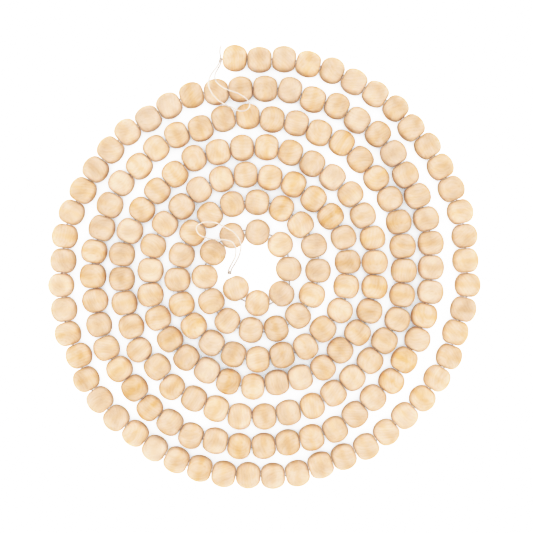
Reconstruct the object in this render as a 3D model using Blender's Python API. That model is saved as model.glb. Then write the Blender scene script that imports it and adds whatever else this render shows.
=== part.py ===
"""Wood bead garland: 203 round beads on a string, laid down as a flat spiral.

The string runs clockwise from the outer end to the inner end. At each end it is
knotted against the last bead and made into a hanging loop, which lies on the beads.
There are too many beads for each to be an object of its own, so a few beads in a row
and the string through them are one object.
"""

import collections
import math
import random

import bmesh
import bpy
import numpy as np
from mathutils import Matrix

MM = 0.001

# The beads
BEAD_COUNT = 203
BEAD_DIAMETER = 16.0 * MM
BEAD_LENGTH = 13.9 * MM
BEAD_END_DIAMETER = 6.8 * MM
BEAD_BARREL_LENGTH = 5.2 * MM
BEAD_SIDES = 8

# How they lie on the string
OUTSIDE_PITCH = 14.99 * MM
INSIDE_PITCH = 14.87 * MM
BEAD_GAP = 0.3 * MM
TURN_GAP = 0.45 * MM
SIDEWAYS_WANDER = 0.7 * MM
WANDER_SEED = 84
PUSHES_APART = 200
BEADS_KEPT_BY_THE_STRING = 4
NEIGHBOUR_REACH = 1.5 * BEAD_DIAMETER

# How many beads in a row are one object, from the outer end to the inner end, where
# the turns are tight
BEADS_IN_A_RUN = 4
BEADS_IN_AN_INNER_RUN = 2
INNER_BEADS = 15

# The string, its knots and the cut tail at the outer knot
STRING_DIAMETER = 0.8 * MM
STRING_INSIDE_BEAD = 1.5 * MM
KNOT_DIAMETER = 3.0 * MM
KNOT_SIDES = 8
KNOT_RINGS = 6
LOOP_POINT_SPACING = 2.2 * MM
LOOP_STEPS_A_POINT = 40
LOOP_BEVEL_RESOLUTION = 2
GUIDE_BEVEL_RESOLUTION = 0

# Finishes, and how meshes are closed and shaded
WOOD_COLOUR = (0.80, 0.62, 0.42)
WOOD_ROUGHNESS = 0.55
STRING_COLOUR = (0.86, 0.85, 0.82)
STRING_ROUGHNESS = 0.6
WELD_DISTANCE = 0.001 * MM
SHARP_ANGLE = math.radians(50)

# How far the string lies from the middle of the coil, in millimetres, at eight points
# of the compass. A row is one turn, from the outside in, and each turn starts at north.
Turn = collections.namedtuple(
    "Turn", "north north_east east south_east south south_west west north_west"
)
TURNS = (
    Turn(132, 131, 129, 124.5, 123, 122, 118.5, 116),
    Turn(113, 111.5, 107.5, 104, 105.5, 102, 99, 97.5),
    Turn(95.5, 93.5, 90.5, 86.5, 86.5, 83.5, 82, 79),
    Turn(77.5, 75, 73, 69.5, 68.5, 65.5, 64.5, 62),
    Turn(60.5, 58, 56, 52.5, 51.5, 48.5, 47.5, 45.5),
    Turn(44, 40, 37.5, 36, 33.5, 32.5, 30.5, 27.5),
    Turn(25, 22.5, 19.5, 19, 17, 15.5, 13, 11),
)
FIRST_BEAD_BEFORE_NORTH = math.radians(5.5)
LINE_STEPS_A_TURN = 2000

# The loops' routes, in millimetres east and north of the middle of the coil and above
# the surface: from the knot, over the beads beside it, and back to the knot
RoutePoint = collections.namedtuple("RoutePoint", "east north height")
OUTER_LOOP = (
    RoutePoint(-22.0, 130.4, 8.0),
    RoutePoint(-22.5, 128.0, 8.3),
    RoutePoint(-24.2, 125.0, 9.6),
    RoutePoint(-26.4, 121.6, 12.2),
    RoutePoint(-28.0, 117.5, 14.8),
    RoutePoint(-28.3, 113.6, 16.2),
    RoutePoint(-27.2, 110.4, 16.8),
    RoutePoint(-25.2, 107.3, 16.8),
    RoutePoint(-21.9, 104.2, 15.8),
    RoutePoint(-17.6, 101.8, 15.0),
    RoutePoint(-13.9, 100.3, 14.9),
    RoutePoint(-10.9, 98.6, 15.7),
    RoutePoint(-7.3, 98.0, 16.8),
    RoutePoint(-4.2, 99.8, 16.7),
    RoutePoint(-3.8, 103.0, 15.9),
    RoutePoint(-6.3, 106.1, 15.9),
    RoutePoint(-10.9, 108.7, 16.8),
    RoutePoint(-15.8, 110.5, 16.4),
    RoutePoint(-20.6, 112.8, 16.9),
    RoutePoint(-24.0, 116.4, 16.1),
    RoutePoint(-24.6, 120.6, 12.2),
    RoutePoint(-23.0, 124.6, 9.6),
    RoutePoint(-21.4, 127.8, 8.4),
    RoutePoint(-20.7, 130.4, 8.0),
)
INNER_LOOP = (
    RoutePoint(-16.5, 1.0, 8.0),
    RoutePoint(-16.2, 3.2, 8.3),
    RoutePoint(-14.4, 6.6, 9.8),
    RoutePoint(-12.5, 10.3, 12.4),
    RoutePoint(-11.9, 13.8, 14.6),
    RoutePoint(-12.4, 17.0, 16.2),
    RoutePoint(-13.9, 19.2, 16.8),
    RoutePoint(-16.6, 20.3, 16.6),
    RoutePoint(-21.5, 20.9, 15.0),
    RoutePoint(-27.0, 21.4, 14.2),
    RoutePoint(-31.4, 22.5, 15.0),
    RoutePoint(-33.9, 24.0, 16.6),
    RoutePoint(-35.3, 26.1, 16.9),
    RoutePoint(-35.4, 28.4, 16.3),
    RoutePoint(-33.6, 30.4, 15.6),
    RoutePoint(-29.6, 31.4, 16.6),
    RoutePoint(-24.4, 31.0, 16.4),
    RoutePoint(-20.5, 29.4, 15.2),
    RoutePoint(-16.4, 27.3, 16.7),
    RoutePoint(-12.9, 25.2, 16.8),
    RoutePoint(-10.4, 22.1, 16.6),
    RoutePoint(-9.0, 18.6, 15.2),
    RoutePoint(-9.1, 14.6, 12.8),
    RoutePoint(-10.4, 10.4, 10.6),
    RoutePoint(-12.6, 6.4, 9.0),
    RoutePoint(-14.6, 3.2, 8.2),
    RoutePoint(-15.2, 1.0, 8.0),
)
OUTER_TAIL = (
    RoutePoint(-21.4, 132.4, 8.0),
    RoutePoint(-21.8, 134.8, 8.2),
    RoutePoint(-21.7, 137.2, 7.6),
    RoutePoint(-21.2, 139.2, 6.6),
)


def smooth_through(values, at):
    """A Catmull-Rom curve through the rows of values, read where at counts rows."""
    first = np.clip(np.floor(at).astype(int), 0, len(values) - 2)
    along = (at - first).reshape(-1, 1)
    before_start = 2 * values[:1] - values[1:2]
    after_end = 2 * values[-1:] - values[-2:-1]
    padded = np.concatenate([before_start, values, after_end])
    v0, v1, v2, v3 = (padded[first + k] for k in range(4))
    return 0.5 * (
        2 * v1
        + (v2 - v0) * along
        + (2 * v0 - 5 * v1 + 4 * v2 - v3) * along**2
        + (3 * v1 - v0 - 3 * v2 + v3) * along**3
    )


def lengths_along(line):
    """The length of a line of points up to each of them."""
    pieces = np.linalg.norm(np.diff(line, axis=0), axis=1)
    return np.concatenate([[0.0], np.cumsum(pieces)])


def string_line():
    """Points along the whole string, close together, and the length up to each."""
    end = math.tau * len(TURNS)
    travelled = np.linspace(-FIRST_BEAD_BEFORE_NORTH, end, LINE_STEPS_A_TURN * len(TURNS))
    radii = np.reshape(TURNS, (-1, 1)) * MM
    radius = smooth_through(radii, travelled / math.tau * len(Turn._fields))
    direction = np.stack([np.sin(travelled), np.cos(travelled)], axis=1)
    line = radius * direction
    return line, lengths_along(line)


def face_spacing(turn):
    """Distance between two beads' middles where their ends just clear each other, with
    the string turning by this angle between them."""
    half_bead = BEAD_LENGTH / 2 * np.cos(turn / 2)
    corner = BEAD_END_DIAMETER / 2 * np.sin(turn / 2)
    return 2 * (half_bead + corner) + BEAD_GAP


def beads_on_line():
    """The beads' middles, one after the other along the string."""
    line, length = string_line()
    heading = np.unwrap(np.arctan2(np.gradient(line[:, 1]), np.gradient(line[:, 0])))
    at = [0.0]
    for pitch in np.linspace(OUTSIDE_PITCH, INSIDE_PITCH, BEAD_COUNT - 1):
        turn = np.diff(np.interp([at[-1], at[-1] + pitch], length, heading))[0]
        at.append(at[-1] + max(pitch, face_spacing(abs(turn))))
    return np.stack([np.interp(at, length, line[:, axis]) for axis in (0, 1)], axis=1)


def unit(vectors):
    """Vectors of length one, and nought where there is no direction to keep."""
    length = np.linalg.norm(vectors, axis=-1, keepdims=True)
    return np.divide(vectors, length, out=np.zeros_like(vectors), where=length > 0)


def directions(places):
    """Which way the string runs through each bead: halfway between its two links. The
    first bead turns on by half a link's turn, and the inner end by a whole one."""
    links = unit(np.diff(places, axis=0))
    middle = links[:-1] + links[1:]
    start = 3 * links[0] - links[1]
    end = 2 * links[-1] - links[-2]
    return unit(np.concatenate([[start], middle, [end]]))


def spread_on_string(places):
    """Neighbours on the string whose ends would touch, each moved by half of what is short."""
    ahead = directions(places)
    turn = np.arccos(np.clip(np.sum(ahead[1:] * ahead[:-1], axis=1), -1, 1))
    link = np.diff(places, axis=0)
    short = np.maximum(face_spacing(turn) - np.linalg.norm(link, axis=1), 0)
    move = unit(link) * short[:, None] / 2
    places[:-1] -= move
    places[1:] += move


def spread_turns(places):
    """Beads of neighbouring turns that would touch, moved apart across the string. Beads
    side by side need a whole diameter, and less where one lies beside the other's taper."""
    ahead = directions(places)
    apart = places[None] - places[:, None]
    along = unit(ahead[None] + ahead[:, None])
    across = np.stack([-along[..., 1], along[..., 0]], axis=-1)
    beside = np.abs(np.sum(apart * along, axis=-1))
    sideways = np.sum(apart * across, axis=-1)
    taper = (BEAD_DIAMETER - BEAD_END_DIAMETER) / (BEAD_LENGTH - BEAD_BARREL_LENGTH)
    needed = BEAD_DIAMETER + TURN_GAP - taper * np.maximum(beside - BEAD_BARREL_LENGTH, 0)
    index = np.arange(len(places))
    other_turn = np.abs(index[None] - index[:, None]) > BEADS_KEPT_BY_THE_STRING
    near = np.linalg.norm(apart, axis=-1) < NEIGHBOUR_REACH
    short = np.where(other_turn & near, np.maximum(needed - np.abs(sideways), 0), 0)
    places -= np.sum(across * (np.sign(sideways) * short)[..., None], axis=1) / 2


def bead_places():
    """The beads' middles seen from above, with the small uneven steps of a strand laid
    down by hand, and none touching another."""
    places = beads_on_line()
    ahead = directions(places)
    rng = random.Random(WANDER_SEED)
    wander = np.array([rng.gauss(0, SIDEWAYS_WANDER) for _ in places])
    places += np.stack([-ahead[:, 1], ahead[:, 0]], axis=1) * wander[:, None]
    for _ in range(PUSHES_APART):
        spread_turns(places)
        spread_on_string(places)
    return places


def outline_middle(places):
    """The middle of the beads' outline, seen from above."""
    ahead = directions(places)
    side = np.stack([-ahead[:, 1], ahead[:, 0]], axis=1)
    end = BEAD_LENGTH / 2 * np.abs(ahead) + BEAD_END_DIAMETER / 2 * np.abs(side)
    barrel = BEAD_BARREL_LENGTH / 2 * np.abs(ahead) + BEAD_DIAMETER / 2 * np.abs(side)
    reach = np.maximum(end, barrel)
    return ((places - reach).min(axis=0) + (places + reach).max(axis=0)) / 2


def material(name, colour, roughness):
    made = bpy.data.materials.new(name)
    made.use_nodes = True
    made.diffuse_color = (*colour, 1.0)
    shader = made.node_tree.nodes["Principled BSDF"]
    shader.inputs["Base Color"].default_value = (*colour, 1.0)
    shader.inputs["Roughness"].default_value = roughness
    shader.inputs["Metallic"].default_value = 0.0
    return made


def finished_mesh(bm, name, finish):
    """A mesh of this bmesh, closed, facing out and shaded smooth over its shallow edges."""
    bmesh.ops.remove_doubles(bm, verts=bm.verts, dist=WELD_DISTANCE)
    bmesh.ops.recalc_face_normals(bm, faces=bm.faces)
    mesh = bpy.data.meshes.new(name)
    bm.to_mesh(mesh)
    bm.free()
    mesh.materials.append(finish)
    mesh.shade_smooth()
    mesh.set_sharp_from_angle(angle=SHARP_ANGLE)
    return mesh


def bead_mesh(finish):
    """One bead, with the string's way through it along X. The profile is spun round X from
    half a side off straight down, so that a flat side lies on the surface."""
    half_side = math.pi / BEAD_SIDES
    profile = (
        (-BEAD_LENGTH / 2, BEAD_END_DIAMETER / 2),
        (-BEAD_BARREL_LENGTH / 2, BEAD_DIAMETER / 2),
        (BEAD_BARREL_LENGTH / 2, BEAD_DIAMETER / 2),
        (BEAD_LENGTH / 2, BEAD_END_DIAMETER / 2),
    )
    bm = bmesh.new()
    points = []
    for x, radius in profile:
        corner = radius / math.cos(half_side)
        y = corner * math.sin(half_side)
        z = -corner * math.cos(half_side)
        points.append(bm.verts.new((x, y, z)))
    edges = [bm.edges.new(pair) for pair in zip(points, points[1:])]
    bmesh.ops.spin(
        bm,
        geom=points + edges,
        axis=(1, 0, 0),
        cent=(0, 0, 0),
        angle=math.tau,
        steps=BEAD_SIDES,
        use_merge=True,
    )
    rims = [edge for edge in bm.edges if edge.is_boundary]
    bmesh.ops.holes_fill(bm, edges=rims, sides=BEAD_SIDES)
    return finished_mesh(bm, "bead", finish)


def tube_curve(name, points, resolution):
    """A curve object that sweeps the string's round section through these points."""
    curve = bpy.data.curves.new(name, "CURVE")
    curve.dimensions = "3D"
    curve.bevel_depth = STRING_DIAMETER / 2
    curve.bevel_resolution = resolution
    curve.use_fill_caps = True
    spline = curve.splines.new("POLY")
    spline.points.add(len(points) - 1)
    for point, place in zip(spline.points, points):
        point.co = (*place, 1.0)
    return bpy.data.objects.new(name, curve)


def string_guide(name, points, finish):
    """A length of string as a closed mesh, kept out of the picture for a Boolean to add."""
    tube = tube_curve(name, points, GUIDE_BEVEL_RESOLUTION)
    bm = bmesh.new()
    bm.from_mesh(bpy.data.meshes.new_from_object(tube))
    bpy.data.objects.remove(tube)
    guide = bpy.data.objects.new(name, finished_mesh(bm, name, finish))
    guide.hide_render = True
    guide.display_type = "WIRE"
    return guide


def place_in(garland, thing, location=(0, 0, 0)):
    bpy.context.scene.collection.objects.link(thing)
    thing.parent = garland
    thing.location = location
    return thing


def join_string(thing, guide):
    union = thing.modifiers.new("string through it", "BOOLEAN")
    union.operation = "UNION"
    union.solver = "EXACT"
    union.object = guide


def make_run(garland, name, bead, places, ahead, string_finish):
    """A few beads in a row and the string through them, as one solid. The object's own
    origin is the middle of its first bead."""
    bm = bmesh.new()
    through = []
    for place, way in zip(places - places[0], ahead):
        turned = Matrix.Rotation(math.atan2(way[1], way[0]), 4, "Z")
        placed = Matrix.Translation((*place, 0)) @ turned
        before = len(bm.verts)
        bm.from_mesh(bead)
        bm.verts.ensure_lookup_table()
        bmesh.ops.transform(bm, matrix=placed, verts=bm.verts[before:])
        inside = way * (BEAD_LENGTH / 2 - STRING_INSIDE_BEAD)
        through += [(*(place - inside), 0), (*(place + inside), 0)]
    run = bpy.data.objects.new(name, finished_mesh(bm, name, bead.materials[0]))
    start = (*places[0], BEAD_DIAMETER / 2)
    place_in(garland, run, start)
    if len(places) > 1:
        guide = string_guide(name + "_string", through[1:-1], string_finish)
        join_string(run, place_in(garland, guide, start))


def runs_of_beads():
    """The first and last bead number of each object, counted from nought."""
    starts = list(range(0, BEAD_COUNT - INNER_BEADS, BEADS_IN_A_RUN))
    starts += list(range(BEAD_COUNT - INNER_BEADS, BEAD_COUNT, BEADS_IN_AN_INNER_RUN))
    return zip(starts, starts[1:] + [BEAD_COUNT])


def in_metres(route):
    return np.array(route) * MM


def make_knot(garland, name, middle, finish, tail=None):
    """The knot against an end bead's hole, and the cut tail that stands out of it."""
    bm = bmesh.new()
    bmesh.ops.create_uvsphere(
        bm, u_segments=KNOT_SIDES, v_segments=KNOT_RINGS, radius=KNOT_DIAMETER / 2
    )
    knot = bpy.data.objects.new(name, finished_mesh(bm, name, finish))
    place_in(garland, knot, middle)
    if tail is not None:
        guide = string_guide(name + "_tail", in_metres(tail), finish)
        join_string(knot, place_in(garland, guide))


def make_loop(garland, name, route, finish):
    """A hanging loop as one length of string along the smooth curve through its route."""
    points = in_metres(route)
    steps = np.linspace(0, len(points) - 1, LOOP_STEPS_A_POINT * len(points))
    fine = smooth_through(points, steps)
    length = lengths_along(fine)
    even = np.linspace(0, length[-1], round(length[-1] / LOOP_POINT_SPACING) + 1)
    tube = np.stack([np.interp(even, length, fine[:, axis]) for axis in range(3)], axis=1)
    loop = place_in(garland, tube_curve(name, tube, LOOP_BEVEL_RESOLUTION))
    loop.data.materials.append(finish)


def clear_scene():
    for thing in list(bpy.data.objects):
        bpy.data.objects.remove(thing)


def main():
    clear_scene()
    wood = material("natural wood", WOOD_COLOUR, WOOD_ROUGHNESS)
    string = material("white string", STRING_COLOUR, STRING_ROUGHNESS)

    places = bead_places()
    ahead = directions(places)
    garland = bpy.data.objects.new("garland", None)
    bpy.context.scene.collection.objects.link(garland)
    garland.location = (*-outline_middle(places), 0)

    bead = bead_mesh(wood)
    for number, (first, last) in enumerate(runs_of_beads(), 1):
        name = f"beads_{number:02d}"
        make_run(garland, name, bead, places[first:last], ahead[first:last], string)

    to_knot = BEAD_LENGTH / 2 + BEAD_GAP + KNOT_DIAMETER / 2
    outer_knot = (*(places[0] - ahead[0] * to_knot), BEAD_DIAMETER / 2)
    inner_knot = (*(places[-1] + ahead[-1] * to_knot), BEAD_DIAMETER / 2)
    make_knot(garland, "knot_outer", outer_knot, string, OUTER_TAIL)
    make_knot(garland, "knot_inner", inner_knot, string)
    make_loop(garland, "loop_outer", OUTER_LOOP, string)
    make_loop(garland, "loop_inner", INNER_LOOP, string)


if __name__ == "__main__":
    main()
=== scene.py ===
import collections
import functools
import math

import bpy
import numpy as np
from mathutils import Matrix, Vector


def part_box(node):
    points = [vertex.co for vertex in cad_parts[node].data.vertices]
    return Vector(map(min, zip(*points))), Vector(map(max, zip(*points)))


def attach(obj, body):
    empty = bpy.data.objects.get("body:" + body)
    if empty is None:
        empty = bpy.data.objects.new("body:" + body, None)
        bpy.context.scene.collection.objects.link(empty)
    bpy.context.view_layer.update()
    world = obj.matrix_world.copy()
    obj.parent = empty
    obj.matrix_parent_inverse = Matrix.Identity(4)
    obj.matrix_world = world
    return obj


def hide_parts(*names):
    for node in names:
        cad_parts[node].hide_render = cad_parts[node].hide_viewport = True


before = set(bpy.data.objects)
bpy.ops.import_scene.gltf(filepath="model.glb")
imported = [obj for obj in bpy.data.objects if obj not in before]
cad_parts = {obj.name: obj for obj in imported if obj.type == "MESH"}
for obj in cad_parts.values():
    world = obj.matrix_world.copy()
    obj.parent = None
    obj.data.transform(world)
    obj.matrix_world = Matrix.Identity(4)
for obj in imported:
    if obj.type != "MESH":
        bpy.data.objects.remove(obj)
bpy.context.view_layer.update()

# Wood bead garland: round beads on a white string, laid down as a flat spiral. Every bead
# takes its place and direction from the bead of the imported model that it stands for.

bl_info = {
    "name": "Wood bead garland",
    "version": (1, 0, 0),
    "blender": (4, 5, 0),
    "location": "View3D > Sidebar > Bead garland",
    "description": "Round wooden beads, their string, knots and hanging loops",
    "category": "Add Mesh",
}

MM = 0.001
WHITE = (1.0, 1.0, 1.0)

# A band of values, from its start to its end, which may be the smaller number
Band = collections.namedtuple("Band", "start end")

# The photograph's frame, how much of the surface it shows, and how near the camera sees
PHOTO_WIDTH_PX = 533
MM_A_PIXEL = 0.6085
PHOTO_MIDDLE = Vector((1.22 * MM, 0.27 * MM, 8.0 * MM))
SENSOR_WIDTH_MM = 36.0
NEAREST_SEEN = 10.0 * MM

# The camera's response between black and white: what falls on it, and how bright that
# comes out. It is even up to mid tones and bends over gently towards white. The curve for
# all three colours together comes after the ones for red, green and blue.
CURVE_FOR_ALL = 3
RESPONSE_WHITE = 2.4
RESPONSE = (
    (0.22, 0.215),
    (0.46, 0.47),
    (0.78, 0.71),
    (1.20, 0.90),
    (1.70, 0.975),
)

# The soft light's strength falls off from low directions to high ones: a direction's
# height is nought at the horizon and one straight overhead
LIGHT_FALLS_OFF = Band(0.2, 0.8)

# The surface: from its middle to its edges, and how matt it is. Its glow is dimmed where
# beads close it in, as painted shade round and between the beads: how far around that
# counts, how many samples measure how open a place is, and how open it is without any glow
# and in full glow.
SURFACE_REACH = 2.0
SURFACE_SHADER = {"Roughness": 0.9, "Specular IOR Level": 0.1}
OPEN_WITHIN = 20.0 * MM
OPEN_SAMPLES = 8
GLOWS_WHERE_OPEN = Band(0.0, 0.33)

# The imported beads: how near the surface the lowest faces are, and how finely two
# triangles' middles are told apart
LYING_FLAT = 0.1 * MM
SAME_PLACE = 0.05 * MM

# One bead's cage for Subdivision Surface, in millimetres: rings from the middle of the
# outside, round the end face and into the hole. The other end is its mirror image. Beads
# differ from barrels with full corners to rounder ones.
CageRing = collections.namedtuple("CageRing", "along radius crease")
BARREL_CAGE = (
    CageRing(0.0, 8.80, 0.0),
    CageRing(7.0, 6.30, 0.0),
    CageRing(7.6, 2.6, 0.19),
    CageRing(7.25, 1.2, 0.22),
    CageRing(0.0, 1.2, 0.0),
)
ROUND_CAGE = (
    CageRing(0.0, 8.55, 0.0),
    CageRing(5.2, 6.75, 0.0),
    CageRing(7.75, 2.8, 0.16),
    CageRing(7.25, 1.2, 0.22),
    CageRing(0.0, 1.2, 0.0),
)
CAGE_SIDES = 8
HOLE_MOUTH = 7.2 * MM
BEAD_RADIUS = 8.0 * MM

# A face's corners the other way round from the same first one, for the beads, because
# their rings turn the opposite way to the string's
OTHER_WAY_ROUND = [0, 3, 2, 1]

# How many rounds of subdivision a profile is worked out with, and how sharp a crease is
PROFILE_ROUNDS = 3
SHARPNESS_OF_CREASE = 10

# Half the length of an ellipsoid that holds any of the beads
HULL_LENGTH = 8.8 * MM

# Where the string has its points in each bead, as shares of the way to the hole's mouth
STRING_STEPS_IN_A_BEAD = np.array([-1.0, -0.75, 0.0, 0.75, 1.0])

# The coil's middle in the model's own frame, from which the routes are measured
COIL_MIDDLE = np.array([-5.336, -4.378, 0.0]) * MM

# The routes of the loops and of the cut tail, in millimetres east and north of the coil's
# middle and above the surface. A loop runs from its knot, over the beads beside it, and
# back to the knot.
OUTER_LOOP = (
    (-22.0, 130.4, 8.0),
    (-22.5, 128.0, 8.3),
    (-24.2, 125.0, 9.6),
    (-26.4, 121.6, 12.2),
    (-28.0, 117.5, 14.8),
    (-28.3, 113.6, 16.2),
    (-27.2, 110.4, 16.8),
    (-25.2, 107.3, 16.8),
    (-21.9, 104.2, 15.8),
    (-17.6, 101.8, 15.0),
    (-13.9, 100.3, 14.9),
    (-10.9, 98.6, 15.7),
    (-7.3, 98.0, 16.8),
    (-4.2, 99.8, 16.7),
    (-3.8, 103.0, 15.9),
    (-6.3, 106.1, 15.9),
    (-10.9, 108.7, 16.8),
    (-15.8, 110.5, 16.4),
    (-20.6, 112.8, 16.9),
    (-24.0, 116.4, 16.1),
    (-24.6, 120.6, 12.2),
    (-23.0, 124.6, 9.6),
    (-21.4, 127.8, 8.4),
    (-20.7, 130.4, 8.0),
)
INNER_LOOP = (
    (-16.5, 1.0, 8.0),
    (-16.2, 3.2, 8.3),
    (-14.4, 6.6, 9.8),
    (-12.5, 10.3, 12.4),
    (-11.9, 13.8, 14.6),
    (-12.4, 17.0, 16.2),
    (-13.9, 19.2, 16.8),
    (-16.6, 20.3, 16.6),
    (-21.5, 20.9, 15.0),
    (-27.0, 21.4, 14.2),
    (-31.4, 22.5, 15.0),
    (-33.9, 24.0, 16.6),
    (-35.3, 26.1, 16.9),
    (-35.4, 28.4, 16.3),
    (-33.6, 30.4, 15.6),
    (-29.6, 31.4, 16.6),
    (-24.4, 31.0, 16.4),
    (-20.5, 29.4, 15.2),
    (-16.4, 27.3, 16.7),
    (-12.9, 25.2, 16.8),
    (-10.4, 22.1, 16.6),
    (-9.0, 18.6, 15.2),
    (-9.1, 14.6, 12.8),
    (-10.4, 10.4, 10.6),
    (-12.6, 6.4, 9.0),
    (-14.6, 3.2, 8.2),
    (-15.2, 1.0, 8.0),
)
OUTER_TAIL = (
    (-21.4, 132.4, 8.0),
    (-21.8, 134.8, 8.2),
    (-21.7, 137.2, 7.6),
    (-21.2, 139.2, 6.6),
)
OUTER_LOOP_LENGTH = 0.098
INNER_LOOP_LENGTH = 0.103

# How the string is laid: three plies, with a groove between neighbouring plies
PLIES = 3
SIDES_A_PLY = 5
PLY_GROOVE = 0.18
LAY_LENGTH = 2.6 * MM
RING_SPACING = 0.28 * MM
STEPS_A_ROUTE_POINT = 40
CLEAR_OF_BEADS = 0.1 * MM
LIFTING_ROUNDS = 12
LIFT_SMOOTHING = 5

# The knot: a trefoil pulled tight, and how far it leans along the string
KNOT_REACH = 1.1 * MM
KNOT_THICKNESS = 0.5 * MM
KNOT_LEAN = 0.6
KNOT_STEPS = 120
TREFOIL_REACH = 3.0

# The wood's growth rings: how wide, how wavy, where the tree's axis lies, and how much the
# way along that axis counts, so that the rings aren't quite straight along it
RING_WIDTH = 1.7 * MM
RING_WAVES = 4.0 * MM
TREE_AXIS = (34.0 * MM, 10.0 * MM, 0.0)
TREE_SQUASH = (1.0, 1.0, 0.06)

# Noise: how often it repeats in a metre across the grain and along it, in how much detail,
# and how rough
Grain = collections.namedtuple("Grain", "across lengthways detail roughness")
WAVES = Grain(95.0, 26.0, 2.0, 0.5)
CLOUDS = Grain(170.0, 80.0, 2.0, 0.5)
SHADOWS = Grain(115.0, 75.0, 1.0, 0.5)
STREAKS = Grain(900.0, 60.0, 2.0, 0.5)
FIBRE = Grain(2600.0, 170.0, 3.0, 0.6)
PORES = Grain(3600.0, 420.0, 1.0, 0.5)
STRING_FIBRE = Grain(5200.0, 5200.0, 3.0, 0.65)

# The lathe's lines: how often in a metre, how far a bead's tone shifts them, and their
# detail
LATHE_LINES = 1500.0
LATHE_SHIFT = 40.0
LATHE_DETAIL = 1.0

# Where each of the wood's patterns begins to show and where it is full: values of the
# growth ring or of the noise, and for the warm middle band, the ends and the hole distances
# from the bead's middle or, for the hole, from its axis
LATE_WOOD_GROWS = Band(0.15, 0.86)
LATE_WOOD_STOPS = Band(1.0, 0.88)
CLOUDS_SHOW = Band(0.40, 0.66)
SHADOWS_SHOW = Band(0.36, 0.70)
STREAKS_SHOW = Band(0.35, 0.70)
PORES_SHOW = Band(0.66, 0.78)
FIBRE_SHOWS = {"warm": Band(0.35, 0.75), "dark": Band(0.40, 0.75), "rough": Band(0.3, 0.8)}
LATHE_SHOWS = {"warm": Band(0.3, 0.7), "dark": Band(0.45, 0.75)}
# The warm middle band is partly the long grain's own colour and partly a painted warm highlight
BELLY_AND_HIGHLIGHT = Band(2.6 * MM, 0.3 * MM)
# Darker ends: partly darker end grain, partly painted shade where neighbouring beads meet
END_GRAIN_AND_JOINT_SHADE = Band(6.75 * MM, 7.2 * MM)
CUT_END = Band(6.9 * MM, 7.35 * MM)
# Painted shade inside the hole
HOLE_SHADE = Band(1.9 * MM, 1.15 * MM)

# How much each pattern warms the wood, darkens it and raises its surface
WARMING = {
    "late wood": 0.24,
    "clouds": 0.60,
    "streaks": 0.16,
    "warm fibre": 0.08,
    "warm lathe lines": 0.15,
    # Painted warm highlight in the middle band, partly the long grain's own colour
    "belly_and_highlight": 0.54,
    "cut end": 0.35,
}
DARKENING = {
    "shadows": 0.16,
    "streaked late wood": 0.08,
    "dark fibre": 0.12,
    "dark lathe lines": 0.05,
    # Partly darker end grain, partly painted shade in the joints between beads
    "end_grain_and_joint_shade": 0.25,
}
RAISING = {"fibre": 1.0, "pores": -0.9, "lathe lines": 0.5}
WARMTH_SHOWS = Band(0.22, 1.34)

# The wood's finish: between what limits a bead's tone and blush lie, how far its blush
# leans it to the bleached colour, how deep its relief is, how its roughness varies about
# the setting, how dark its pores are, and how dark its hole is painted as shade. Light
# goes a little way into the wood, and a warm sheen lies on its rims.
TONE_LIMITS = Band(-2.0, 2.0)
BLEACHED = Band(0.05, 0.65)
WOOD_RELIEF = 0.03 * MM
ROUGHNESS_VARIES = Band(-0.05, 0.10)
PORE_COLOUR = (0.36, 0.20, 0.09)
PORE_STRENGTH = 0.35
HOLE_SHADE_COLOUR = (0.20, 0.11, 0.05)
HOLE_SHADE_STRENGTH = 0.8
WOOD_SHADER = {
    "Subsurface Weight": 0.25,
    "Subsurface Radius": (1.0, 0.6, 0.35),
    "Subsurface Scale": 1.2 * MM,
    "Specular IOR Level": 0.2,
    "Sheen Weight": 0.65,
    "Sheen Roughness": 0.35,
    "Sheen Tint": (1.0, 0.6, 0.2),
}

# The string's finish: where the crest of a ply shows against the painted shade in its
# grooves and where fibres do, how strongly fibres colour it, how matt it is and how deep
# its relief is
CREST_SHOWS = Band(0.1, 0.9)
STRING_FIBRES_SHOW = Band(0.35, 0.75)
STRING_FIBRES_TINT = Band(0.0, 0.25)
STRING_ROUGHNESS = 0.6
STRING_RELIEF = 0.04 * MM

# How the beads differ. Where the string turns sharply, from one bead to the next, only
# rounder beads lie close together.
SHARP_TURN = math.radians(12)
SHARPEST_TURN = math.radians(36)
BEAD_SEED = 31
SMALLEST_BEAD = 0.986
LARGEST_BEAD = 1.018
LENGTH_SPREAD = 0.008
LENGTH_LIMITS = (-0.01, 0.01)
ROUNDNESS_SHAPE = (1.2, 4.2)
SWING_SPREAD = math.radians(0.9)
SWING_LIMITS = (-math.radians(2.5), math.radians(2.5))

# Neighbours on the string: half the gap that is kept between them, and how far along the
# string a point of the profile has to be to count
HALF_A_GAP = 0.02 * MM
TOWARDS_NEIGHBOUR = 2.0 * MM


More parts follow.
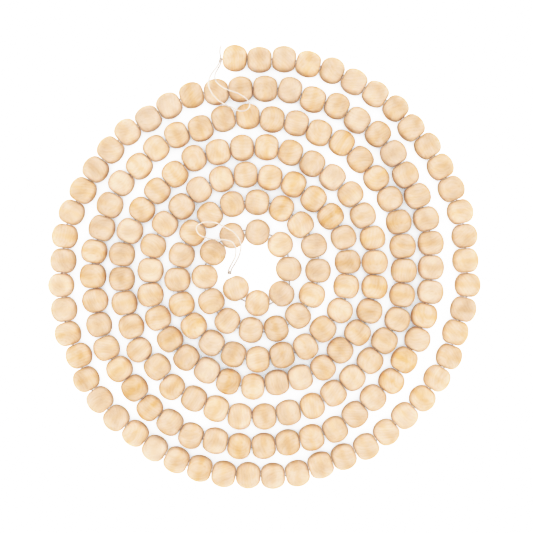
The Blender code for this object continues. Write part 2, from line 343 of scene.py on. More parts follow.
class BeadSettings(bpy.types.PropertyGroup):
    """Size and wood of the beads"""

    diameter: bpy.props.FloatProperty(
        name="Diameter",
        description="Across a bead of middling size",
        default=0.016,
        unit="LENGTH",
    )
    levels: bpy.props.IntProperty(
        name="Subdivision",
        description="How many times each bead's cage is subdivided",
        default=2,
        min=0,
        max=3,
    )
    pale_wood: bpy.props.FloatVectorProperty(
        name="Pale wood",
        description="Colour of the wood between its growth rings",
        default=(0.715, 0.47, 0.312),
        subtype="COLOR",
        min=0.0,
        max=1.0,
    )
    # The warm colour also serves the painted warm highlight in each bead's middle band
    warm_wood: bpy.props.FloatVectorProperty(
        name="Warm wood",
        description="Colour of the growth rings, clouds and fibres",
        default=(0.72, 0.365, 0.145),
        subtype="COLOR",
        min=0.0,
        max=1.0,
    )
    bleached_wood: bpy.props.FloatVectorProperty(
        name="Bleached wood",
        description="Paler colour that some beads lean towards",
        default=(0.75, 0.54, 0.40),
        subtype="COLOR",
        min=0.0,
        max=1.0,
    )
    bead_contrast: bpy.props.FloatProperty(
        name="Differences between beads",
        description="How much lighter or darker one bead is than the next",
        default=0.045,
        min=0.0,
        max=0.2,
    )
    roughness: bpy.props.FloatProperty(
        name="Roughness",
        description="How matt the sanded wood is",
        default=0.55,
        min=0.0,
        max=1.0,
    )


class StringSettings(bpy.types.PropertyGroup):
    """Thickness and colours of the string"""

    diameter: bpy.props.FloatProperty(
        name="Diameter",
        description="Across the twisted string",
        default=0.0008,
        unit="LENGTH",
    )
    white: bpy.props.FloatVectorProperty(
        name="White",
        description="Colour of the string's plies",
        default=(0.63, 0.54, 0.465),
        subtype="COLOR",
        min=0.0,
        max=1.0,
    )
    # The groove colour is painted shade between the plies; random fibres lean towards it too
    groove: bpy.props.FloatVectorProperty(
        name="Groove",
        description="Colour between the plies",
        default=(0.57, 0.49, 0.42),
        subtype="COLOR",
        min=0.0,
        max=1.0,
    )


class StageSettings(bpy.types.PropertyGroup):
    """Camera, surface and light"""

    camera_height: bpy.props.FloatProperty(
        name="Camera height",
        description="How far above the surface the camera hangs",
        default=0.65,
        unit="LENGTH",
    )
    floor: bpy.props.FloatVectorProperty(
        name="Surface",
        description="Colour of the surface under the garland, without its glow",
        default=(0.26, 0.26, 0.26),
        subtype="COLOR",
        min=0.0,
        max=1.0,
    )
    glow: bpy.props.FloatProperty(
        name="Glow of the surface",
        description="How much brighter the surface is to the camera, as one lit from below",
        default=2.1,
        min=0.0,
    )
    light_from_sides: bpy.props.FloatProperty(
        name="Light from the sides",
        description="Strength of the soft white light low down all round, as in a light tent",
        default=5.3,
        min=0.0,
    )
    light_from_above: bpy.props.FloatProperty(
        name="Light from above",
        description="Strength of the soft white light straight overhead",
        default=0.0,
        min=0.0,
    )
    softbox_power: bpy.props.FloatProperty(
        name="Softbox power",
        description="Power of the large soft lamp overhead, in watts",
        default=3.0,
        min=0.0,
    )
    softbox_width: bpy.props.FloatProperty(
        name="Softbox width",
        description="Across the round softbox",
        default=0.4,
        unit="LENGTH",
    )
    softbox_height: bpy.props.FloatProperty(
        name="Softbox height",
        description="How far above the surface the softbox hangs",
        default=0.8,
        unit="LENGTH",
    )


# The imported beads' places


def unit(vectors):
    """Vectors of length one, and nought where there is no direction to keep."""
    length = np.linalg.norm(vectors, axis=-1, keepdims=True)
    return np.divide(vectors, length, out=np.zeros_like(vectors), where=length > 0)


def flat_faces(node):
    """The middles and directions of the faces on which a node's beads lie. Such a face is
    a rectangle of two triangles, longer across the string than along it: the longest edge
    of a triangle runs through the rectangle's middle, and the shortest along the string."""
    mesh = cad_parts[node].data
    mesh.calc_loop_triangles()
    corners = np.zeros(len(mesh.loop_triangles) * 3, int)
    mesh.loop_triangles.foreach_get("vertices", corners)
    points = np.zeros(len(mesh.vertices) * 3)
    mesh.vertices.foreach_get("co", points)
    triangles = points.reshape(-1, 3)[corners].reshape(-1, 3, 3)
    triangles = triangles[np.all(np.abs(triangles[..., 2]) < LYING_FLAT, axis=1)]
    following = np.roll(triangles, -1, axis=1)
    edges = following - triangles
    length = np.linalg.norm(edges, axis=2)
    row = np.arange(len(triangles))
    longest = length.argmax(axis=1)
    middles = (triangles[row, longest] + following[row, longest]) / 2
    _, first = np.unique(np.round(middles / SAME_PLACE), axis=0, return_index=True)
    along = edges[row, length.argmin(axis=1)]
    return middles[first, :2], unit(along[first, :2])


def packed_beads():
    """The middle and direction of every packed bead, seen from above, from the outer end
    to the inner end, and how many beads each node has. The first bead is the one nearest
    to the middle of the outer loop's northern edge, where its knot is. Within a node the
    nearest to the bead before comes next."""
    low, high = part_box("loop_outer")
    last = np.array([(low.x + high.x) / 2, high.y])
    names = sorted(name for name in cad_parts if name.startswith("beads_"))
    places, ahead, counts = [], [], []
    for name in names:
        middles, ways = flat_faces(name)
        counts.append(len(middles))
        while len(middles):
            nearest = np.linalg.norm(middles - last, axis=1).argmin()
            last = middles[nearest]
            places.append(last)
            ahead.append(ways[nearest])
            middles = np.delete(middles, nearest, axis=0)
            ways = np.delete(ways, nearest, axis=0)
    places = np.array(places)
    ahead = np.array(ahead)
    onwards = np.gradient(places, axis=0)
    ahead *= np.sign(np.sum(ahead * onwards, axis=1, keepdims=True))
    return names, counts, places, ahead


NODE_NAMES, NODE_COUNTS, PLACES, AHEAD = packed_beads()


# The beads' shapes


def cage_rows(roundness):
    """Each bead's closed row of rings: between the barrel's and the round bead's by its
    roundness, the right half as listed and then its mirror image."""
    share = roundness[:, None, None]
    right = np.array(BARREL_CAGE) * (1 - share) + np.array(ROUND_CAGE) * share
    left = right[:, 1:-1][:, ::-1] * [-1, 1, 1]
    return np.concatenate([right, left], axis=1)


def rounded_profile(rows):
    """How far along and how far out the finished surface runs, for each bead. A round of
    subdivision puts a new point halfway between two rings. It moves a ring to an eighth of
    the ring before, six eighths of itself and an eighth of the next, and in the first
    round keeps it where it is by its crease squared times the sharpness of a crease."""
    points, kept = rows[..., :2], SHARPNESS_OF_CREASE * rows[..., 2:] ** 2
    for _ in range(PROFILE_ROUNDS):
        before, after = np.roll(points, 1, axis=1), np.roll(points, -1, axis=1)
        smooth = (before + 6 * points + after) / 8
        moved = smooth * (1 - kept) + points * kept
        points = np.stack([moved, (points + after) / 2], axis=2).reshape(len(rows), -1, 2)
        kept = np.zeros((*points.shape[:2], 1))
    return np.moveaxis(points, -1, 0)


def rounder_in_turns():
    """How round each bead is at least: how far the string turns between the lines to its
    two neighbours, as a share of the way from a sharp turn to the sharpest."""
    link = np.diff(PLACES, axis=0)
    heading = np.unwrap(np.arctan2(link[:, 1], link[:, 0]))
    turn = np.pad(np.abs(np.diff(heading)), 1, mode="edge")
    return ((turn - SHARP_TURN) / (SHARPEST_TURN - SHARP_TURN)).clip(0, 1)


class Beads:
    """Every bead's size, shape and turn: arrays with one row for each bead."""

    def __init__(self, diameter):
        rng = np.random.default_rng(BEAD_SEED)
        count = len(PLACES)
        share = rng.uniform(SMALLEST_BEAD, LARGEST_BEAD, count)
        self.size = share * diameter / (2 * BEAD_RADIUS)
        self.length = 1 + rng.normal(0, LENGTH_SPREAD, count).clip(*LENGTH_LIMITS)
        self.roundness = np.maximum(rng.beta(*ROUNDNESS_SHAPE, count), rounder_in_turns())
        swing = rng.normal(0, SWING_SPREAD, count).clip(*SWING_LIMITS)
        self.tilt = rng.normal(0, SWING_SPREAD, count).clip(*SWING_LIMITS)
        self.tone = rng.normal(0, 1, count).clip(*TONE_LIMITS)
        self.blush = rng.normal(0, 1, count).clip(*TONE_LIMITS)
        self.grain = rng.uniform(0, math.tau, (count, 3))
        self.heading = np.arctan2(AHEAD[:, 1], AHEAD[:, 0]) + swing
        self.middle = np.column_stack([PLACES, BEAD_RADIUS * self.size])
        self.length = np.minimum(self.length, self.longest())

    def ways(self):
        """Which way each bead's hole points, from its heading and its tilt."""
        level = np.cos(self.tilt)
        return np.column_stack([
            level * np.cos(self.heading), level * np.sin(self.heading), -np.sin(self.tilt)
        ])

    def longest(self):
        """How long a bead can be, as a share of its full length, without overlapping its
        neighbours on the string. Each bead keeps to its own side of the plane halfway
        between two middles. A point of its profile, at some distance along the hole and
        some radius, reaches the distance times the cosine plus the radius times the sine
        of the angle between the hole and the line to the neighbour."""
        link = np.diff(self.middle, axis=0)
        apart = np.linalg.norm(link, axis=1)
        along, radius = rounded_profile(cage_rows(self.roundness)) * self.size[:, None] * MM
        ways = self.ways()
        share = np.ones(len(self.size))
        for side in (slice(0, -1), slice(1, None)):
            cos = np.abs(np.sum(ways[side] * link, axis=1)) / apart
            sin = np.sqrt(1 - cos**2)
            room = (apart / 2 - HALF_A_GAP)[:, None] - radius[side] * sin[:, None]
            reach = along[side] * cos[:, None]
            counts = reach > TOWARDS_NEIGHBOUR
            fits = np.divide(room, reach, out=np.ones_like(room), where=counts)
            share[side] = np.minimum(share[side], fits.min(axis=1))
        return share


@functools.cache
def beads():
    """All the beads, worked out when the first piece asks for them."""
    return Beads(bpy.context.scene.garland_beads.diameter)


# Meshes and tubes


def placed(name, data, location=(0.0, 0.0, 0.0)):
    """An object in the scene, at its place."""
    thing = bpy.data.objects.new(name, data)
    thing.location = location
    bpy.context.scene.collection.objects.link(thing)
    return thing


def new_piece(name, points, faces, finish):
    """A mesh object at the origin, riding on the one body, in its finish."""
    mesh = bpy.data.meshes.new(name)
    mesh.from_pydata(points.tolist(), [], faces)
    mesh.shade_smooth()
    mesh.materials.append(finish)
    piece = placed(name, mesh)
    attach(piece, "root")
    return piece


def store(mesh, name, kind, values, domain="POINT"):
    """A named attribute with one value for each vertex or edge of the mesh."""
    attribute = mesh.attributes.new(name, kind, domain)
    field = "vector" if kind == "FLOAT_VECTOR" else "value"
    attribute.data.foreach_set(field, np.asarray(values, np.float32).ravel())


def ring_faces(rings, sides, closed):
    """Four-sided faces between neighbouring rings of points, and from the last ring to the
    first where the row of rings is closed."""
    rows = rings if closed else rings - 1
    row, column = np.meshgrid(np.arange(rows), np.arange(sides), indexing="ij")
    below = (row + 1) % rings
    beside = (column + 1) % sides
    corners = ((row, column), (below, column), (below, beside), (row, beside))
    return np.stack([ring * sides + side for ring, side in corners], axis=-1).reshape(-1, 4)


def smooth_through(values, at):
    """A Catmull-Rom curve through the rows of values, read where at counts rows."""
    first = np.clip(np.floor(at).astype(int), 0, len(values) - 2)
    along = (at - first).reshape(-1, 1)
    before_start = 2 * values[:1] - values[1:2]
    after_end = 2 * values[-1:] - values[-2:-1]
    padded = np.concatenate([before_start, values, after_end])
    v0, v1, v2, v3 = (padded[first + k] for k in range(4))
    return 0.5 * (
        2 * v1
        + (v2 - v0) * along
        + (2 * v0 - 5 * v1 + 4 * v2 - v3) * along**2
        + (3 * v1 - v0 - 3 * v2 + v3) * along**3
    )


def distances(path):
    """How far along the path each of its points lies."""
    steps = np.linalg.norm(np.diff(path, axis=0), axis=1)
    return np.concatenate([[0.0], np.cumsum(steps)])


def evenly(path, spacing):
    """The same path with points at even steps of about this spacing."""
    length = distances(path)
    even = np.linspace(0, length[-1], round(length[-1] / spacing) + 1)
    return np.stack([np.interp(even, length, path[:, axis]) for axis in range(3)], axis=1)


def route_path(route):
    """The smooth path through a route's points, in the model's frame."""
    points = np.array(route) * MM + COIL_MIDDLE
    at = np.linspace(0, len(points) - 1, STEPS_A_ROUTE_POINT * len(points))
    return evenly(smooth_through(points, at), RING_SPACING)


def twisted_string(path, diameter, closed=False):
    """Points, faces and height in the lay of a string that follows a path. Round each
    point stands a ring square to the path. The ring's radius is the string's, less a
    groove where the cosine of half the plies' number times the angle passes nought, and
    the angle turns once in every lay length, so the plies wind round one another."""
    around = PLIES * SIDES_A_PLY
    along = distances(path)
    if closed:
        forward = unit(np.roll(path, -1, axis=0) - np.roll(path, 1, axis=0))
        whole = along[-1] + np.linalg.norm(path[0] - path[-1])
        lay = whole / round(whole / LAY_LENGTH)
    else:
        forward = unit(np.gradient(path, axis=0))
        lay = LAY_LENGTH
    side = unit(np.cross(forward, [0.0, 0.0, 1.0]))
    up = np.cross(side, forward)
    angle = np.linspace(0, math.tau, around, endpoint=False)
    wound = angle[None] - math.tau * along[:, None] / lay
    crest = np.abs(np.cos(PLIES / 2 * wound))
    radius = diameter / 2 * (1 - PLY_GROOVE * (1 - crest))
    cos = np.cos(angle)[None, :, None]
    sin = np.sin(angle)[None, :, None]
    ring = side[:, None] * cos + up[:, None] * sin
    points = path[:, None] + ring * radius[..., None]
    faces = ring_faces(len(path), around, closed).tolist()
    if not closed:
        last_ring = range((len(path) - 1) * around, len(path) * around)
        faces += [list(range(around)), list(reversed(last_ring))]
    return points.reshape(-1, 3), faces, crest.ravel()


def lifted_off_beads(path, string_radius):
    """The path, moved out of the beads where it would run through one. Inside a bead's
    ellipsoid grown by the string's radius a point moves straight away from the bead's
    middle to the ellipsoid's surface. Between rounds the move is evened out along the
    path."""
    b = beads()
    grown = string_radius + CLEAR_OF_BEADS
    reach = np.column_stack([
        HULL_LENGTH * b.size * b.length, BEAD_RADIUS * b.size, BEAD_RADIUS * b.size
    ]) + grown
    cos, sin = np.cos(b.heading), np.sin(b.heading)
    kernel = np.ones(LIFT_SMOOTHING) / LIFT_SMOOTHING
    start, end = path[0].copy(), path[-1].copy()
    for _ in range(LIFTING_ROUNDS):
        away = path[:, None] - b.middle[None]
        local = np.stack([
            away[..., 0] * cos + away[..., 1] * sin,
            -away[..., 0] * sin + away[..., 1] * cos,
            away[..., 2],
        ], axis=-1)
        depth = np.linalg.norm(local / reach, axis=2)
        nearest = depth.argmin(axis=1)
        row = np.arange(len(path))
        inside = np.minimum(depth[row, nearest], 1)
        push = away[row, nearest] * (1 / inside - 1)[:, None]
        padded = np.pad(push, ((LIFT_SMOOTHING // 2,) * 2, (0, 0)), mode="edge")
        even = np.stack([np.convolve(axis, kernel, "valid") for axis in padded.T], axis=1)
        path = path + np.where(np.abs(even) > np.abs(push), even, push)
    path[0], path[-1] = start, end
    return path


# Finishes


class Nodes:
    """A short way to build the nodes of a material or a world that lead to its shader."""

    def __init__(self, owner, shader="Principled BSDF"):
        owner.use_nodes = True
        self.owner = owner
        self.tree = owner.node_tree
        self.shader = self.tree.nodes[shader]

    def add(self, kind, inputs=None, **settings):
        node = self.tree.nodes.new("ShaderNode" + kind)
        for key, value in settings.items():
            setattr(node, key, value)
        for key, value in (inputs or {}).items():
            self.feed(node.inputs[key], value)
        return node

    def feed(self, socket, value):
        """Links what another node works out, or sets a plain value. A colour is solid."""
        if isinstance(value, bpy.types.NodeSocket):
            self.tree.links.new(value, socket)
        elif socket.type == "RGBA":
            socket.default_value = (*value, 1.0)
        else:
            socket.default_value = value

    def maths(self, operation, *values):
        return self.add("Math", dict(enumerate(values)), operation=operation).outputs[0]

    def vector(self, operation, first, second=None):
        """A step of reckoning with vectors. A length or a dot product is a number."""
        node = self.add("VectorMath", {0: first}, operation=operation)
        if second is not None:
            self.feed(node.inputs["Scale" if operation == "SCALE" else 1], second)
        return node.outputs["Value" if operation in ("LENGTH", "DOT_PRODUCT") else "Vector"]

    def remap(self, value, band, to=(0.0, 1.0), soft=False):
        """The start of the band becomes the first of two values and its end the second,
        with an even way between them or one with soft ends."""
        ends = {"From Min": band[0], "From Max": band[1], "To Min": to[0], "To Max": to[1]}
        interpolation = "SMOOTHSTEP" if soft else "LINEAR"
        node = self.add("MapRange", {"Value": value, **ends}, interpolation_type=interpolation)
        return node.outputs[0]

    def total(self, patterns, shares):
        """The sum of the patterns that have a share, each times its share."""
        added = 0.0
        for name, share in shares.items():
            added = self.maths("MULTIPLY_ADD", patterns[name], share, added)
        return added

    def mix(self, factor, first, second):
        """The first colour where the factor is nought, and the second where it is one."""
        node = self.add("Mix", {"Factor": factor}, data_type="RGBA")
        colours = [socket for socket in node.inputs if socket.type == "RGBA"]
        for socket, value in zip(colours, (first, second)):
            self.feed(socket, value)
        return next(socket for socket in node.outputs if socket.type == "RGBA")

    def attribute(self, name, output="Fac"):
        return self.add("Attribute", attribute_name=name).outputs[output]

    def noise(self, place, grain):
        """Noise that repeats as often as the grain says, across Z and along it."""
        often = (grain.across, grain.across, grain.lengthways)
        inputs = {
            "Vector": self.vector("MULTIPLY", place, often),
            "Scale": 1.0,
            "Detail": grain.detail,
            "Roughness": grain.roughness,
        }
        return self.add("TexNoise", inputs).outputs[0]

    def relief(self, height, depth):
        bump = self.add("Bump", {"Height": height, "Distance": depth, "Strength": 1.0})
        return bump.outputs[0]

    def shade(self, inputs):
        """Feeds the shader, and gives back the finished material or world."""
        for key, value in inputs.items():
            self.feed(self.shader.inputs[key], value)
        return self.owner


def wood_patterns(n, tone):
    """The patterns in a bead's wood, read from its own middle and turned by its own
    angles. Growth rings are the distance from a tree's axis that lies outside the bead:
    the wood darkens slowly through a ring and ends in a thin line. Fibres are noise drawn
    out along that axis, and pores the peaks of finer noise. Round the hole's axis lie the
    faint lines of the lathe, a warmer middle band that is partly the long grain's colour and
    partly a painted warm highlight, the cut ends, darker ends that are partly darker end
    grain and partly painted shade where beads meet, and the hole, painted dark as shade."""
    here = n.add("TexCoord").outputs["Object"]
    own = n.vector("SUBTRACT", here, n.attribute("bead_middle", "Vector"))
    way = n.attribute("bead_way", "Vector")
    along = n.vector("DOT_PRODUCT", own, way)
    off_axis = n.vector("SUBTRACT", own, n.vector("SCALE", way, along))
    from_axis = n.vector("LENGTH", off_axis)
    from_middle = n.maths("ABSOLUTE", along)
    angles = {"Vector": own, "Rotation": n.attribute("bead_grain", "Vector")}
    turned = n.add("VectorRotate", angles, rotation_type="EULER_XYZ").outputs[0]

    from_tree = n.vector("MULTIPLY", n.vector("ADD", turned, TREE_AXIS), TREE_SQUASH)
    distance = n.vector("LENGTH", from_tree)
    bent = n.maths("MULTIPLY_ADD", n.noise(turned, WAVES), RING_WAVES, distance)
    year = n.maths("FRACT", n.maths("DIVIDE", bent, RING_WIDTH))
    late_wood = n.maths(
        "MULTIPLY",
        n.remap(year, LATE_WOOD_GROWS, soft=True),
        n.remap(year, LATE_WOOD_STOPS, soft=True),
    )
    fibre = n.noise(turned, FIBRE)
    streaks = n.remap(n.noise(turned, STREAKS), STREAKS_SHOW, soft=True)
    shifted = n.maths("MULTIPLY_ADD", along, LATHE_LINES, n.maths("MULTIPLY", tone, LATHE_SHIFT))
    lines = {"W": shifted, "Detail": LATHE_DETAIL}
    lathe_lines = n.add("TexNoise", lines, noise_dimensions="1D").outputs[0]
    return {
        "late wood": late_wood,
        "clouds": n.remap(n.noise(turned, CLOUDS), CLOUDS_SHOW, soft=True),
        "shadows": n.remap(n.noise(turned, SHADOWS), SHADOWS_SHOW, soft=True),
        "streaks": streaks,
        "streaked late wood": n.maths("MULTIPLY", late_wood, streaks),
        "fibre": fibre,
        "warm fibre": n.remap(fibre, FIBRE_SHOWS["warm"]),
        "dark fibre": n.remap(fibre, FIBRE_SHOWS["dark"]),
        "pores": n.remap(n.noise(turned, PORES), PORES_SHOW),
        "lathe lines": lathe_lines,
        "warm lathe lines": n.remap(lathe_lines, LATHE_SHOWS["warm"]),
        "dark lathe lines": n.remap(lathe_lines, LATHE_SHOWS["dark"]),
        # Warm middle band: partly the long grain's colour, partly a painted warm highlight
        "belly_and_highlight": n.remap(from_middle, BELLY_AND_HIGHLIGHT, soft=True),
        # Darker ends: partly end grain, partly painted shade where beads meet
        "end_grain_and_joint_shade": n.remap(from_middle, END_GRAIN_AND_JOINT_SHADE, soft=True),
        "cut end": n.remap(from_middle, CUT_END, soft=True),
        # Painted shade: the hole is darkened as the shade inside it
        "hole": n.remap(from_axis, HOLE_SHADE, soft=True),
    }


@functools.cache
def wood_finish():
    """Pale sanded wood. Its colour lies between the pale and the warm one by the warming
    patterns' sum, which holds a painted warm highlight in the middle band, leans to the
    bleached one by the bead's blush, and is then made darker by the darkening patterns' sum,
    which holds painted shade at the ends where beads meet, and lighter or darker by the
    bead's tone. Pores darken it a little, and the hole is painted dark as shade."""
    chosen = bpy.context.scene.garland_beads
    n = Nodes(bpy.data.materials.new("pale sanded wood"))
    tone = n.attribute("bead_tone")
    patterns = wood_patterns(n, tone)
    warmth = n.remap(n.total(patterns, WARMING), WARMTH_SHOWS)
    colour = n.mix(warmth, chosen.pale_wood, chosen.warm_wood)
    bleached = n.remap(n.attribute("bead_blush"), TONE_LIMITS, BLEACHED)
    colour = n.mix(bleached, colour, chosen.bleached_wood)
    bright = n.maths("MULTIPLY_ADD", tone, chosen.bead_contrast, 1.0)
    # The darkening holds painted shade at the ends where beads meet
    bright = n.maths("SUBTRACT", bright, n.total(patterns, DARKENING))
    colour = n.vector("SCALE", colour, bright)
    colour = n.mix(n.maths("MULTIPLY", patterns["pores"], PORE_STRENGTH), colour, PORE_COLOUR)
    # Painted shade: the wood darkens towards a deep brown inside the hole
    colour = n.mix(n.maths("MULTIPLY", patterns["hole"], HOLE_SHADE_STRENGTH), colour, HOLE_SHADE_COLOUR)
    roughness = [chosen.roughness + varies for varies in ROUGHNESS_VARIES]
    return n.shade({
        "Base Color": colour,
        "Roughness": n.remap(patterns["fibre"], FIBRE_SHOWS["rough"], roughness),
        "Normal": n.relief(n.total(patterns, RAISING), WOOD_RELIEF),
        **WOOD_SHADER,
    })


@functools.cache
def string_finish():
    """White twisted string: darker in the grooves between its plies as painted shade, with fine
    fibres.
    """
    chosen = bpy.context.scene.garland_string
    n = Nodes(bpy.data.materials.new("white twisted string"))
    fibres = n.noise(n.add("TexCoord").outputs["Object"], STRING_FIBRE)
    crest = n.remap(n.attribute("ply_crest"), CREST_SHOWS)
    # Painted shade: the grooves between the plies take the darker groove colour
    colour = n.mix(crest, chosen.groove, chosen.white)
    tint = n.remap(fibres, STRING_FIBRES_SHOW, STRING_FIBRES_TINT)
    return n.shade({
        "Base Color": n.mix(tint, colour, chosen.groove),
        "Roughness": STRING_ROUGHNESS,
        "Normal": n.relief(fibres, STRING_RELIEF),
    })


# The stage


def hang_camera(height):
    """A camera straight above the photograph's middle. Its focal length is the sensor's
    width times the distance to the beads' middles, over the width that it sees there."""
    camera = bpy.data.cameras.new("overhead camera")
    camera.sensor_width = SENSOR_WIDTH_MM
    view_width = PHOTO_WIDTH_PX * MM_A_PIXEL * MM
    camera.lens = SENSOR_WIDTH_MM * (height - PHOTO_MIDDLE.z) / view_width
    camera.clip_start = NEAREST_SEEN
    over_the_middle = (PHOTO_MIDDLE.x, PHOTO_MIDDLE.y, height)
    bpy.context.scene.camera = placed("overhead camera", camera, over_the_middle)


def lay_surface(colour, glow):
    """A wide flat square. Its glow is seen by the camera alone, so the beads get from it only
    the light that it throws back, and the glow is dimmed in narrow places between beads as
    painted shade."""
    low, high = -SURFACE_REACH, SURFACE_REACH
    mesh = bpy.data.meshes.new("surface")
    mesh.from_pydata(
        [(low, low, 0), (high, low, 0), (high, high, 0), (low, high, 0)],
        [],
        [(0, 1, 2, 3)],
    )
    n = Nodes(bpy.data.materials.new("plain pale surface"))
    seen = n.add("LightPath").outputs["Is Camera Ray"]
    openness = n.add("AmbientOcclusion", {"Distance": OPEN_WITHIN}, samples=OPEN_SAMPLES)
    # Painted shade: the glow fades where beads close the surface in
    glows = n.remap(openness.outputs["AO"], GLOWS_WHERE_OPEN, soft=True)
    mesh.materials.append(n.shade({
        "Base Color": colour,
        "Emission Color": WHITE,
        "Emission Strength": n.maths("MULTIPLY", n.maths("MULTIPLY", seen, glows), glow),
        **SURFACE_SHADER,
    }))
    floor = placed("surface", mesh)


def light_all_round(from_sides, from_above):
    """Soft white light from everywhere, with its strength by the direction's height."""
    n = Nodes(bpy.data.worlds.new("soft white light"), "Background")
    direction = n.add("TexCoord").outputs["Generated"]
    height = n.add("SeparateXYZ", {"Vector": direction}).outputs["Z"]
    strength = n.remap(height, LIGHT_FALLS_OFF, (from_sides, from_above), soft=True)
    bpy.context.scene.world = n.shade({"Color": WHITE, "Strength": strength})


def hang_softbox(power, width, height):
    """A round soft lamp that shines straight down."""
    lamp = bpy.data.lights.new("softbox", "AREA")
    lamp.shape = "DISK"
    lamp.size = width
    lamp.energy = power
    placed("softbox", lamp, (0.0, 0.0, height))


def set_response(view):
    """The camera's response as a curve for all three colours together."""
    view.view_transform = "Standard"
    view.use_curve_mapping = True
    mapping = view.curve_mapping
    mapping.white_level = (RESPONSE_WHITE,) * 3
    every_colour = mapping.curves[CURVE_FOR_ALL].points
    every_colour[0].location = (0.0, 0.0)
    every_colour[-1].location = (1.0, 1.0)
    for falls, comes_out in RESPONSE:
        every_colour.new(falls / RESPONSE_WHITE, comes_out)
    mapping.update()


class GARLAND_OT_stage(bpy.types.Operator):
    """Lay the pale surface, light it softly and hang the camera over it"""

    bl_idname = "garland.stage"
    bl_label = "Surface, light and camera"

    def execute(self, context):
        chosen = context.scene.garland_stage
        hang_camera(chosen.camera_height)
        lay_surface(chosen.floor, chosen.glow)
        light_all_round(chosen.light_from_sides, chosen.light_from_above)
        hang_softbox(chosen.softbox_power, chosen.softbox_width, chosen.softbox_height)
        set_response(context.scene.view_settings)
        return {"FINISHED"}


# The pieces of string


def string_piece(name, points, faces, crest):
    """A piece of string, with each point's height in the lay stored for its finish."""
    piece = new_piece(name, points, faces, string_finish())
    store(piece.data, "ply_crest", "FLOAT", crest)
    return piece


def knot_path(middle, ahead):
    """A trefoil pulled tight. It is the sum of a circle of radius two run round twice and
    a circle of radius one run round once the other way, and it weaves up and down by the
    sine of three times the angle. Its flat side stands across the string and leans along
    it."""
    turn = np.linspace(0, math.tau, KNOT_STEPS, endpoint=False)
    flat = np.stack([
        np.sin(turn) + 2 * np.sin(2 * turn),
        np.cos(turn) - 2 * np.cos(2 * turn),
    ], axis=1) * KNOT_REACH / TREFOIL_REACH
    weave = -np.sin(3 * turn) * KNOT_THICKNESS
    across = np.array([-ahead[1], ahead[0], 0.0])
    lengthways = np.array([ahead[0], ahead[1], 0.0])
    tipped = unit(np.array([0.0, 0.0, 1.0]) + KNOT_LEAN * lengthways)
    out = np.cross(across, tipped)
    return middle + flat[:, :1] * across + flat[:, 1:] * tipped + weave[:, None] * out


def make_knot(name, middle, ahead, tail, diameter):
    """A tied knot, and where it has a tail the cut end that leaves it from its middle."""
    points, faces, crest = twisted_string(knot_path(middle, ahead), diameter, closed=True)
    if tail is not None:
        path = np.concatenate([[middle], route_path(tail)])
        more, more_faces, more_crest = twisted_string(path, diameter)
        faces += [[corner + len(points) for corner in face] for face in more_faces]
        points = np.concatenate([points, more])
        crest = np.concatenate([crest, more_crest])
    return string_piece(name, points, faces, crest)


class GARLAND_OT_knots_and_loops(bpy.types.Operator):
    """Tie a knot and a hanging loop at each end of the string"""

    bl_idname = "garland.knots_and_loops"
    bl_label = "Knots and hanging loops"

    def execute(self, context):
        diameter = context.scene.garland_string.diameter
        ends = (
            ("outer", OUTER_LOOP, OUTER_LOOP_LENGTH, OUTER_TAIL, AHEAD[0]),
            ("inner", INNER_LOOP, INNER_LOOP_LENGTH, None, AHEAD[-1]),
        )
        for end, route, length, tail, ahead in ends:
            path = lifted_off_beads(route_path(route), diameter / 2)
            middle = (path[0] + path[-1]) / 2
            knot = make_knot(f"tied_knot_{end}", middle, ahead, tail, diameter)
            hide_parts(f"knot_{end}")
            loop = string_piece(f"hanging_loop_{end}", *twisted_string(path, diameter))
            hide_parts(f"loop_{end}")
        return {"FINISHED"}


class GARLAND_OT_string_through_beads(bpy.types.Operator):
    """Run the string through the holes of all the beads, from knot to knot"""

    bl_idname = "garland.string_through_beads"
    bl_label = "String through the beads"

    def execute(self, context):
        b = beads()
        forward = b.ways()[:, None]
        reach = (HOLE_MOUTH * b.size * b.length)[:, None, None]
        path = b.middle[:, None] + forward * reach * STRING_STEPS_IN_A_BEAD[None, :, None]
        diameter = context.scene.garland_string.diameter
        string_piece("string_through_beads", *twisted_string(path.reshape(-1, 3), diameter))
        return {"FINISHED"}


# The beads


def bead_points(which):
    """The cage points of some beads. A bead is a ring profile carried round its own X axis:
    along is x, and the radius times the cosine and sine of the angle are y and z. It is
    then tilted about Y, turned about Z to its heading and moved to its place. A cubic
    surface runs inside its cage, so the radius is swollen by what that takes off."""
    b = beads()
    rows = cage_rows(b.roundness[which])
    angle = np.arange(CAGE_SIDES) / CAGE_SIDES * math.tau
    swell = 3 / (2 + math.cos(math.tau / CAGE_SIDES))
    radius = rows[..., 1] * b.size[which, None] * swell * MM
    along = rows[..., 0] * (b.size * b.length)[which, None] * MM
    x = np.repeat(along[..., None], CAGE_SIDES, axis=2)
    y = radius[..., None] * np.cos(angle)
    z = radius[..., None] * np.sin(angle)
    tilt = b.tilt[which, None, None]
    heading = b.heading[which, None, None]
    x, z = x * np.cos(tilt) + z * np.sin(tilt), -x * np.sin(tilt) + z * np.cos(tilt)
    x, y = x * np.cos(heading) - y * np.sin(heading), x * np.sin(heading) + y * np.cos(heading)
    return np.stack([x, y, z], axis=-1) + b.middle[which, None, None]


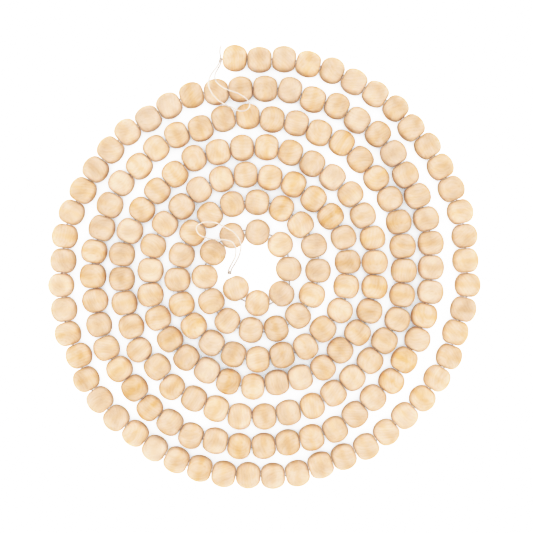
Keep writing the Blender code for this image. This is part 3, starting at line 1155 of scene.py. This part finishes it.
def row_of_beads(name, which):
    """Some beads as one piece. Each ring's crease lies on the edges that run round it, and
    each bead's own values on all its points, for the wood's finish."""
    b = beads()
    points = bead_points(which)
    rings = points.shape[1]
    in_a_bead = rings * CAGE_SIDES
    faces = ring_faces(rings, CAGE_SIDES, closed=True)[:, OTHER_WAY_ROUND]
    faces = faces + np.arange(len(which))[:, None, None] * in_a_bead
    faces = faces.reshape(-1, 4).tolist()
    piece = new_piece(name, points.reshape(-1, 3), faces, wood_finish())

    mesh = piece.data
    ends = np.zeros(len(mesh.edges) * 2, int)
    mesh.edges.foreach_get("vertices", ends)
    ring = ends.reshape(-1, 2) // CAGE_SIDES
    creases = cage_rows(b.roundness[which])[..., 2].ravel()
    crease = np.where(ring[:, 0] == ring[:, 1], creases[ring[:, 0]], 0)
    store(mesh, "crease_edge", "FLOAT", crease, "EDGE")
    for label, kind, values in (
        ("bead_middle", "FLOAT_VECTOR", b.middle),
        ("bead_way", "FLOAT_VECTOR", b.ways()),
        ("bead_grain", "FLOAT_VECTOR", b.grain),
        ("bead_tone", "FLOAT", b.tone),
        ("bead_blush", "FLOAT", b.blush),
    ):
        store(mesh, label, kind, np.repeat(values[which], in_a_bead, axis=0))
    return piece


class GARLAND_OT_beads(bpy.types.Operator):
    """Turn the round wooden beads, a few in a row to each piece"""

    bl_idname = "garland.beads"
    bl_label = "Wooden beads"

    def execute(self, context):
        levels = context.scene.garland_beads.levels
        first = 0
        for name, count in zip(NODE_NAMES, NODE_COUNTS):
            piece = row_of_beads("wood_" + name, np.arange(first, first + count))
            first += count
            smooth = piece.modifiers.new("round the cage", "SUBSURF")
            smooth.levels = levels
            smooth.render_levels = levels
            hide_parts(name)
        return {"FINISHED"}


class GARLAND_PT_panel(bpy.types.Panel):
    """Settings of the bead garland, and a button for each group of pieces"""

    bl_idname = "GARLAND_PT_panel"
    bl_label = "Bead garland"
    bl_space_type = "VIEW_3D"
    bl_region_type = "UI"
    bl_category = "Bead garland"

    def draw(self, context):
        layout = self.layout
        for operator in OPERATORS:
            layout.operator(operator.bl_idname)
        for name, kind in SETTINGS.items():
            column = layout.column()
            for field in kind.__annotations__:
                column.prop(getattr(context.scene, name), field)


SETTINGS = {
    "garland_beads": BeadSettings,
    "garland_string": StringSettings,
    "garland_stage": StageSettings,
}
OPERATORS = (
    GARLAND_OT_stage,
    GARLAND_OT_knots_and_loops,
    GARLAND_OT_beads,
    GARLAND_OT_string_through_beads,
)


def register():
    for kind in (*SETTINGS.values(), *OPERATORS, GARLAND_PT_panel):
        bpy.utils.register_class(kind)
    for name, kind in SETTINGS.items():
        setattr(bpy.types.Scene, name, bpy.props.PointerProperty(type=kind))


def unregister():
    for name in SETTINGS:
        delattr(bpy.types.Scene, name)
    for kind in (GARLAND_PT_panel, *reversed(OPERATORS), *reversed(SETTINGS.values())):
        bpy.utils.unregister_class(kind)


def main():
    register()
    bpy.ops.garland.stage()
    bpy.ops.garland.knots_and_loops()
    bpy.ops.garland.beads()
    bpy.ops.garland.string_through_beads()


if __name__ == "__main__":
    main()
